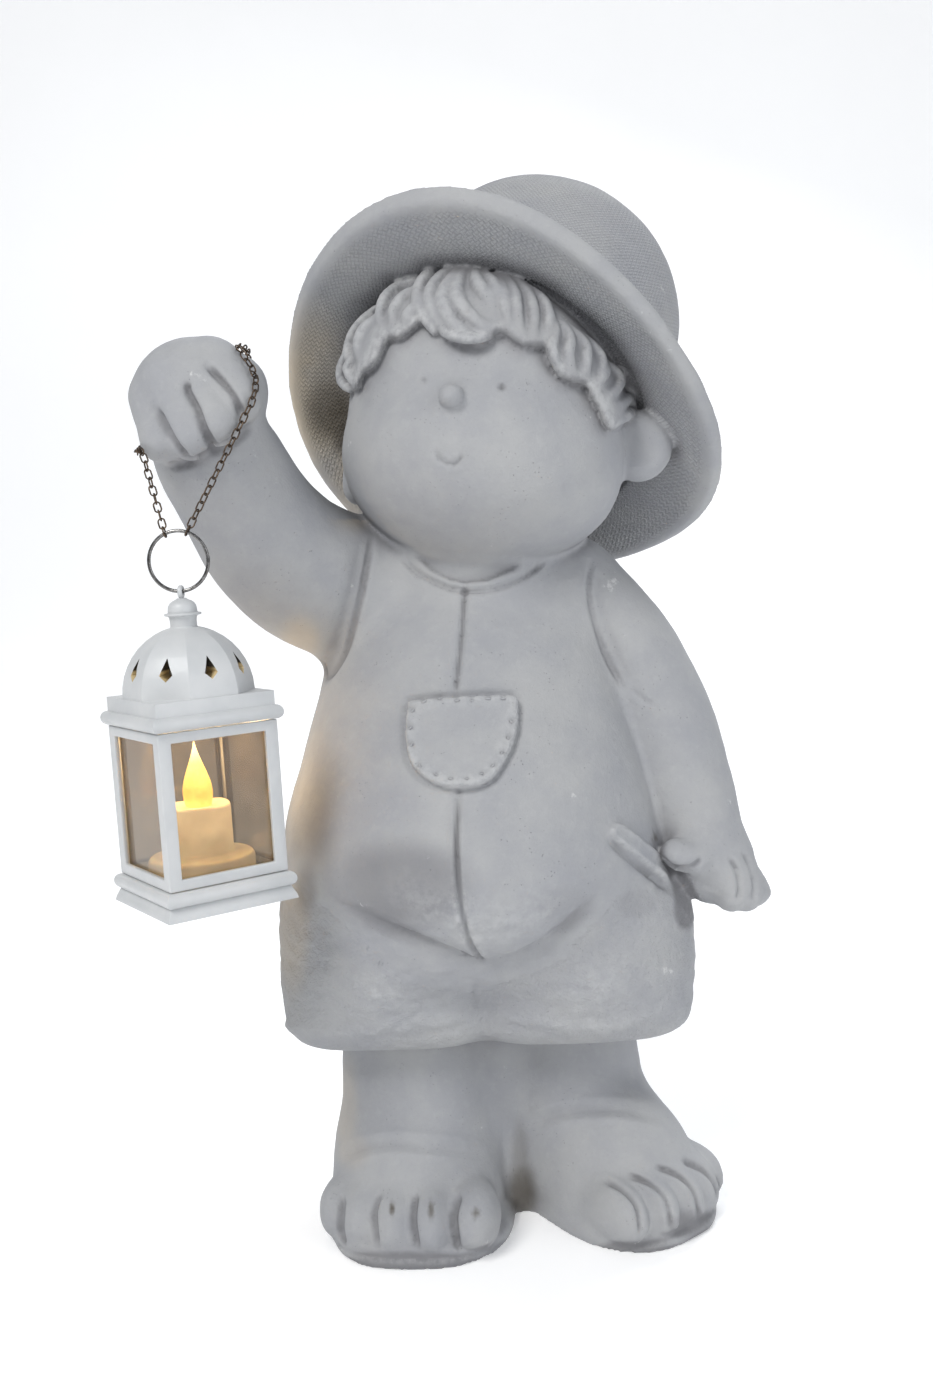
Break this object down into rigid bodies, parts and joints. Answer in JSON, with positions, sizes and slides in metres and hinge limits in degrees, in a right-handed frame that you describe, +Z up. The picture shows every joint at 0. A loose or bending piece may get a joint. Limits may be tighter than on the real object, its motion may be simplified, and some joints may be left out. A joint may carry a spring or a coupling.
{
  "type": "garden statue",
  "caption": "Garden statue of a barefoot boy in a brimmed sun hat and short romper, raising a small lantern that hangs from a chain over the fist",
  "frame": {"origin": "on the flat underside of the statue, on the cast web between the two heels, at ground level", "axes": "+Z up, the statue's chest faces -Y, +X is toward the statue's own left hand"},
  "size_m": [0.2841, 0.2596, 0.4901],
  "materials": {
    "cast_stone": "matte grey fibre-clay cast, fine pits and dust",
    "white_plastic": "satin white moulded plastic",
    "pane": "clear, lightly smoked plastic",
    "candle": "wax-like cream plastic, lit from above",
    "flame": "translucent amber plastic, lit from inside",
    "ring_steel": "plain drawn wire",
    "dark_bronze": "dark bronze plated chain"
  },
  "bodies": {
    "root": {"figure": "cast_stone", "lantern_base": "white_plastic", "lantern_frame": "white_plastic", "lantern_roof": "white_plastic", "pane_1": "pane", "pane_2": "pane", "pane_3": "pane", "pane_4": "pane", "candle": "candle", "flame": "flame", "hanging_ring": "ring_steel", "chain": "dark_bronze"}
  },
  "joints": []
}
